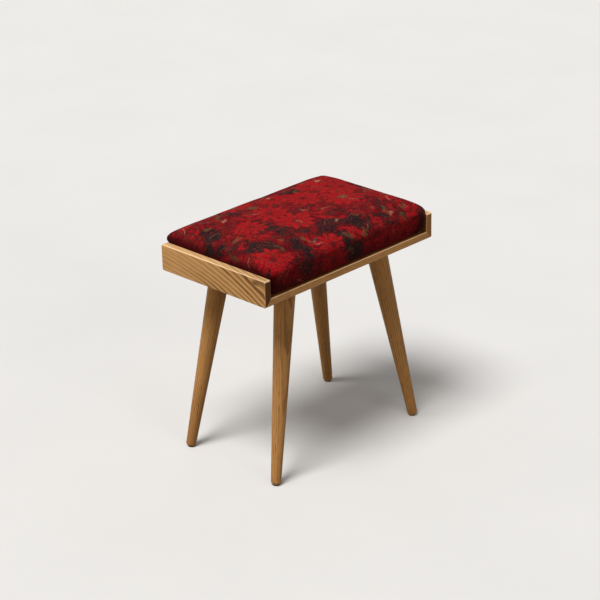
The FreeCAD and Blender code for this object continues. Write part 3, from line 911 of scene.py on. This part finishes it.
def bloom_group():
    """Red blooms on red and charcoal with leaves, scribbled lines and pale strokes. Vector in metres."""
    tree, given, result = new_group(
        "bloom pattern",
        ("Vector",),
        {"Bloom Pitch": 0.075, "Yarn Pitch": 0.0013},
        ("Bloom", "Petal Shade", "Ground", "Leaf", "Thread", "Fleck"),
        {"Color": "Color", "Height": "Float"})
    flat = given["Vector"]
    pitch = given["Yarn Pitch"]
    bright = given["Bloom"]
    deep = given["Petal Shade"]
    ground = given["Ground"]

    # Each yarn takes one colour, and the rows of yarn are out of step, so edges are ragged
    across = parts(flat)
    row = maths("FLOOR", maths("DIVIDE", across["Y"], pitch))
    slid = plus(across["X"], scaled(chance_of(row), 0.0036, -0.0018))
    stitch = times(pitch, 1.5)
    place = vector_of(X=maths("SNAP", slid, stitch), Y=times(row, pitch))
    wobble = wander(place, 60.0)
    soft = moved(place, stretched(wobble, (0.014, 0.014, 0.0)))
    fine = moved(flat, stretched(wobble, (0.008, 0.008, 0.0)))

    # Ground: charcoal, deep red and bright red in drifting patches
    drift = noise(soft, 15.0, 3.0, 0.55)
    cloud = noise(place, 85.0, 3.0, 0.6)
    lively = mix(ramp(cloud, 0.40, 0.64), bright, deep)
    colour = mix(ramp(drift, 0.46, 0.49), ground, deep)
    colour = mix(ramp(drift, 0.50, 0.55), colour, lively)

    # Leaves and sprigs
    leaf_spot = stretched(soft, (46.0, 34.0, 0.0))
    leaf_distance, leaf_arm, leaf_chance = scattered(leaf_spot, 1.0)
    leaf_angle = bearing(leaf_arm, leaf_chance["Blue"], 6.3)
    leaf_reach = absolute(maths("COSINE", leaf_angle))
    leaf_reach = scaled(maths("POWER", leaf_reach, 2.2), 0.42, 0.10)
    leaf = ramp(minus(leaf_distance, leaf_reach), -0.05, 0.05, 1.0, 0.0)
    for first, last, strength, leaf_colour in ((0.66, 0.64, 0.8, deep), (0.80, 0.82, 0.6, given["Leaf"])):
        shown = times(leaf, ramp(leaf_chance["Red"], first, last))
        colour = mix(times(shown, strength), colour, leaf_colour)

    # Two layers of blooms, the deep ones behind
    wide = given["Bloom Pitch"]
    spot = vector_maths("DIVIDE", soft, vector_of(X=wide, Y=wide, Z=wide))
    behind = moved(spot, (7.4, 3.7, 0.0))
    for layer_spot, petals, share, strength, petal_colour in (
            (behind, 13.0, 0.50, 0.55, lively), (spot, 11.0, 0.42, 1.0, bright)):
        petal, gap, heart, chance = bloom_layer(layer_spot, petals, 0.42, 0.18)
        shown = ramp(chance["Blue"], share, share + 0.02)
        face = mix(strength, deep, petal_colour)
        face = mix(times(gap, 0.8), face, mix(0.5, deep, ground))
        colour = mix(times(petal, shown), colour, face)
        core = mix(ramp(chance["Green"], 0.84, 0.86), deep, given["Leaf"])
        colour = mix(times(times(heart, shown), 0.8), colour, core)

    # Scribbled dark and rosy lines
    rosy = mix(0.10, bright, given["Thread"])
    dusk = mix(0.4, ground, given["Leaf"])
    patchy = noise(place, 22.0, 1.0)
    for scale, count, first, last, strength, line_colour in (
            (64.0, 7.0, 0.36, 0.46, 0.7, dusk), (82.0, 6.0, 0.60, 0.48, 0.35, rosy)):
        scribble = level_lines(fine, scale, count, 0.05, 0.13)
        scribble = times(scribble, ramp(patchy, first, last))
        colour = mix(times(scribble, strength), colour, line_colour)

    # Pale strokes in loose groups, small pale leaves and grey flecks
    grouped = ramp(noise(place, 8.0, 1.0), 0.47, 0.55)
    for stroke_pitch, reach, width, share, strength, shift, mark in (
            (0.046, 0.36, 0.018, 0.60, 0.42, 3.1, given["Thread"]),
            (0.060, 0.15, 0.065, 0.72, 0.34, 8.6, given["Thread"]),
            (0.052, 0.20, 0.030, 0.62, 0.45, 5.3, given["Fleck"])):
        marks = curved_strokes(soft, stroke_pitch, reach, width, share, shift)
        marks = times(marks, grouped)
        colour = mix(times(marks, strength), colour, mark)

    # Yarns: each a little lighter or darker, round on top, over and under in turn, with painted shade
    # where each dips
    count = vector_maths("DIVIDE", flat, vector_of(X=stitch, Y=pitch, Z=pitch))
    index = vector_maths("FLOOR", count)
    dye = add_node("TexWhiteNoise", {"Vector": index}, noise_dimensions="2D").outputs["Value"]
    strand = parts(count)
    arch_x, arch_y = (absolute(maths("SINE", times(strand[axis], math.pi))) for axis in "XY")
    strand_index = parts(index)
    turn = maths("PINGPONG", plus(strand_index["X"], strand_index["Y"]), 1.0)
    height = plus(times(arch_y, turn), times(arch_x, minus(1.0, turn)))
    colour = shaded(colour, scaled(dye, 0.6, 0.7))
    # Painted shade: each yarn is darker where it dips and lighter on its crown
    plug(result["Color"], shaded(colour, scaled(height, 0.35, 0.74)))
    plug(result["Height"], height)
    return tree


def cover_material(settings):
    material, shader, place = new_material("red floral cloth")
    cloth_map = material.node_tree.nodes.new("ShaderNodeUVMap")
    cloth_map.uv_map = "cloth"
    names = ("Bloom Pitch", "Yarn Pitch", "Bloom", "Petal Shade", "Ground", "Leaf", "Thread", "Fleck")
    pattern = use_group(bloom_group(), settings, names, {"Vector": cloth_map.outputs["UV"]})
    # Painted shade: the sides are darker towards the hem, and the ends where they turn down beside the
    # end boards
    shade_height = 0.052
    shade_width = 0.034
    turn_down = 0.8
    spot = parts(place)
    hem = ramp(spot["Z"], pad_low.z, pad_low.z + shade_height, settings.hem_shade, 1.0)
    drop = scaled(spot["Z"], -turn_down, end_rim * turn_down)
    reach = plus(absolute(spot["X"]), drop)
    end = ramp(reach, end_face - shade_width, end_face, 1.0, settings.end_shade)
    colour = shaded(pattern["Color"], times(hem, end))
    surface(shader, colour, 0.9, pattern["Height"], 0.00014, 0.8, {
        "Specular IOR Level": 0.05,
        "Sheen Weight": 0.12,
        "Sheen Roughness": 0.5,
        "Sheen Tint": settings.bloom,
    })
    return material


def cut_hem_window(cover):
    """Open the underside inside the turned-in hem."""
    half_x = dust_high.x - hem_overlap
    half_y = dust_high.y - hem_overlap
    highest_face = pad_low.z + 0.001

    def in_window(face):
        middle = face.calc_center_median()
        return abs(middle.x) < half_x and abs(middle.y) < half_y and middle.z < highest_face

    edit(cover)
    pick(cover, "FACE", in_window)
    bpy.ops.mesh.delete(type="FACE")
    leave_edit()


class STOOL_OT_pad_cover(bpy.types.Operator):
    """Woven cover, swelled by its filling and turned in under the pad"""
    bl_idname = "stool.pad_cover"
    bl_label = "Pad cover"

    def execute(self, context):
        settings = context.scene.stool_cover
        skin = pad_blank(settings)
        swell(skin, settings)
        settle(skin, settings)
        cover = copy_of(skin, "floral_cover")
        apply_modifier(cover, "SUBSURF", levels=1, render_levels=1)
        cut_hem_window(cover)
        lay_cloth_map(cover)
        apply_modifier(cover, "SOLIDIFY", thickness=cover_thickness, offset=-1.0)
        select_only(cover)
        bpy.ops.object.shade_smooth()
        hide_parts("pad_cover")
        finish_piece(cover, cover_material(settings), "seat_pad")
        return {"FINISHED"}


def inner_layer(skin, name, depth, closed):
    """Copy of the skin, moved in by a depth and cut level with the top of the pad board."""
    layer = copy_of(skin, name)
    apply_modifier(layer, "DISPLACE", strength=-depth, mid_level=0.0)
    edit(layer)
    bpy.ops.mesh.bisect(
        plane_co=(0, 0, filling_level), plane_no=(0, 0, 1), use_fill=closed, clear_inner=True)
    leave_edit()
    return layer


def foam_material():
    material, shader, place = new_material("seat foam")
    cell = add_node("TexVoronoi", {"Vector": place, "Scale": 900.0}).outputs["Distance"]
    hole = ramp(cell, 0.1, 0.6, 1.0, 0.0)
    colour = mix(noise(place, 25.0), linear(236, 220, 166), linear(224, 202, 140))
    # Painted shade: the open cells are darker
    colour = mix(times(hole, 0.4), colour, linear(176, 150, 92))
    surface(shader, colour, 0.9, hole, -0.0004, 0.8)
    return material


class STOOL_OT_pad_filling(bpy.types.Operator):
    """Wadding and foam inside the cover, formed from the cover's own skin"""
    bl_idname = "stool.pad_filling"
    bl_label = "Pad filling"

    def execute(self, context):
        skin = bpy.data.objects["pad_skin"]
        wadding = inner_layer(skin, "wadding_layer", wadding_inset, False)
        apply_modifier(wadding, "SOLIDIFY", thickness=wadding_thickness, offset=-1.0)
        foam = inner_layer(skin, "foam_block", foam_inset, True)
        polyester = fluffy_material(
            "polyester wadding", (420.0, 5.0), (35.0, 3.0), 0.3, 0.0015,
            linear(206, 206, 202), linear(240, 240, 237), linear(214, 212, 204))
        for piece, node, material in (
                (wadding, "pad_wadding", polyester), (foam, "pad_foam", foam_material())):
            select_only(piece)
            bpy.ops.object.shade_smooth_by_angle(angle=math.radians(50))
            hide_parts(node)
            finish_piece(piece, material, "seat_pad")
        bpy.data.objects.remove(skin)
        return {"FINISHED"}


def plywood_material():
    """Birch plywood: plies along the edges, long grain on the faces."""
    ply_thickness = 0.0015
    material, shader, place = new_material("birch plywood")
    upright = absolute(parts(place.node.outputs["Normal"])["Z"])
    edge = ramp(upright, 0.3, 0.7, 1.0, 0.0)
    ply = maths("PINGPONG", times(parts(place)["Z"], 1 / ply_thickness), 1.0)
    ply = times(ramp(ply, 0.42, 0.58), edge)
    grain = noise(place, (14.0, 240.0, 240.0), 3.0)
    colour = mix(grain, linear(222, 196, 152), linear(196, 164, 116))
    colour = mix(ply, colour, linear(146, 106, 66))
    surface(shader, colour, ramp(grain, 0.3, 0.7, 0.55, 0.7), grain, 0.0001, 0.5)
    return material


def dust_cloth_material():
    """Black bonded cloth, with the small pressed dots that hold its fibres."""
    dot_pitch = 0.0022
    material, shader, place = new_material("black bonded cloth")
    fibre = noise(place, 700.0, 5.0, 0.75)
    cell = vector_maths("FRACTION", stretched(place, (1 / dot_pitch, 1 / dot_pitch, 0.0)))
    dot = length_of(difference(cell, (0.5, 0.5, 0.0)))
    press = ramp(dot, 0.16, 0.26, 1.0, 0.0)
    colour = mix(fibre, linear(20, 20, 21), linear(52, 52, 54))
    colour = mix(times(press, 0.5), colour, linear(24, 24, 25))
    roughness = ramp(press, 0.0, 1.0, 0.85, 0.55)
    surface(shader, colour, roughness, minus(fibre, press), 0.0002, 0.8)
    return material


def dust_sheet():
    """Thin sheet stretched under the pad, with round holes for the pegs."""
    pitch_x = 0.048
    pitch_y = 0.052
    sag = 0.00012
    level = (dust_low.z + dust_high.z) / 2
    sheet = primitive(
        bpy.ops.mesh.primitive_grid_add, "dust_sheet", x_subdivisions=80, y_subdivisions=50, size=1)
    sheet.scale = (dust_size.x, dust_size.y, 1)
    bake_place(sheet)
    # Between its staples the sheet hangs a little lower
    for vert in sheet.data.vertices:
        slack_x = math.sin(vert.co.x * math.pi / pitch_x) ** 2
        slack_y = math.sin(vert.co.y * math.pi / pitch_y) ** 2
        vert.co.z = level - sag * slack_x * slack_y
    apply_modifier(sheet, "SOLIDIFY", thickness=dust_thickness, offset=0.0)
    for x, y in corners_of("pad_pegs", peg_radius):
        drill = primitive(
            bpy.ops.mesh.primitive_cylinder_add, "drill", vertices=32,
            radius=peg_radius + peg_clearance, depth=0.02, location=(x, y, level))
        cut_out(sheet, drill)
    return sheet


class STOOL_OT_pad_base(bpy.types.Operator):
    """Plywood board, staples and the dust sheet under the pad"""
    bl_idname = "stool.pad_base"
    bl_label = "Pad base"

    def execute(self, context):
        give_material(nodes["pad_board"], plywood_material())
        give_material(nodes["pad_staples"], zinc_material("staple wire", linear(176, 176, 174)))
        sheet = dust_sheet()
        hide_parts("pad_dust_cover")
        finish_piece(sheet, dust_cloth_material(), "seat_pad")
        return {"FINISHED"}


# Studio

def seen_directly(tree):
    """One for what the camera sees, also by reflection or through glass, and zero for other light."""
    path = tree.nodes.new("ShaderNodeLightPath").outputs
    mirrored = highest(path["Is Glossy Ray"], path["Is Transmission Ray"])
    return highest(path["Is Camera Ray"], mirrored)


def add_floor(settings):
    """Floor that looks pale, and sends less light up at the stool than it would."""
    floor = primitive(bpy.ops.mesh.primitive_plane_add, "studio_floor", size=14)
    material, shader, place = new_material("studio floor")
    tone = ramp(noise(place, 3.0, 3.0), 0.3, 0.7, 0.99, 1.01)
    pale = shaded(settings.floor_colour, tone)
    colour = mix(seen_directly(material.node_tree), settings.floor_bounce, pale)
    plug(shader.inputs["Base Color"], colour)
    plug(shader.inputs["Roughness"], 0.75)
    give_material(floor, material)


def add_light(name, place, strength, softness):
    """Wide, far lamp that looks at the stool."""
    bpy.ops.object.light_add(type="SUN", location=place)
    light = bpy.context.object
    light.name = name
    light.data.energy = strength
    light.data.angle = softness
    aim = Vector((0, 0, 0.3)) - Vector(place)
    light.rotation_euler = aim.to_track_quat("-Z", "Y").to_euler()


def add_world(settings):
    world = bpy.data.worlds.new("studio")
    world.use_nodes = True
    tree = world.node_tree
    background = tree.nodes["Background"]
    background.inputs["Color"].default_value = (1.0, 0.99, 0.97, 1.0)
    strength = ramp(seen_directly(tree), 0.0, 1.0, settings.sky_strength, settings.backdrop)
    plug(background.inputs["Strength"], strength)
    bpy.context.scene.world = world


def add_camera(settings):
    level = math.cos(settings.elevation)
    back = Vector((
        math.sin(settings.azimuth) * level,
        -math.cos(settings.azimuth) * level,
        math.sin(settings.elevation)))
    bpy.ops.object.camera_add(location=Vector(settings.target) + back * settings.distance)
    camera = bpy.context.object
    camera.name = "photo_camera"
    turned = (-back).to_track_quat("-Z", "Y") @ Quaternion((0, 0, 1), settings.roll)
    camera.rotation_euler = turned.to_euler()
    camera.data.sensor_width = 36.0
    camera.data.lens = settings.lens
    bpy.context.scene.camera = camera


class STOOL_OT_studio(bpy.types.Operator):
    """Pale floor, soft lights and the camera"""
    bl_idname = "stool.studio"
    bl_label = "Studio"

    def execute(self, context):
        settings = context.scene.stool_studio
        add_floor(settings)
        add_light("key light", (-2.2, -0.1, 4.9), settings.key_strength, settings.softness)
        add_light("side light", (-3.4, 2.8, 1.4), settings.side_strength, settings.softness)
        add_light("fill light", (-1.0, -5.0, 2.6), settings.fill_strength, settings.softness)
        add_world(settings)
        add_camera(settings)
        context.scene.view_settings.view_transform = "Standard"
        return {"FINISHED"}


class STOOL_PT_looks(bpy.types.Panel):
    bl_idname = "STOOL_PT_looks"
    bl_label = "Piano stool"
    bl_space_type = "VIEW_3D"
    bl_region_type = "UI"
    bl_category = "Stool"

    def draw(self, context):
        for operator in operators:
            self.layout.operator(operator.bl_idname)


settings_groups = {
    "stool_studio": StudioSettings,
    "stool_oak": OakSettings,
    "stool_cover": CoverSettings,
}
operators = (
    STOOL_OT_oak_tray,
    STOOL_OT_oak_legs,
    STOOL_OT_leg_fixings,
    STOOL_OT_foot_felts,
    STOOL_OT_joint_wood,
    STOOL_OT_pad_cover,
    STOOL_OT_pad_filling,
    STOOL_OT_pad_base,
    STOOL_OT_studio,
)
classes = tuple(settings_groups.values()) + operators + (STOOL_PT_looks,)


def register():
    for kind in classes:
        bpy.utils.register_class(kind)
    for name, group in settings_groups.items():
        setattr(bpy.types.Scene, name, PointerProperty(type=group))


def unregister():
    for name in settings_groups:
        delattr(bpy.types.Scene, name)
    for kind in reversed(classes):
        bpy.utils.unregister_class(kind)


def main():
    register()
    for operator in operators:
        group, name = operator.bl_idname.split(".")
        getattr(getattr(bpy.ops, group), name)()


if __name__ == "__main__":
    main()
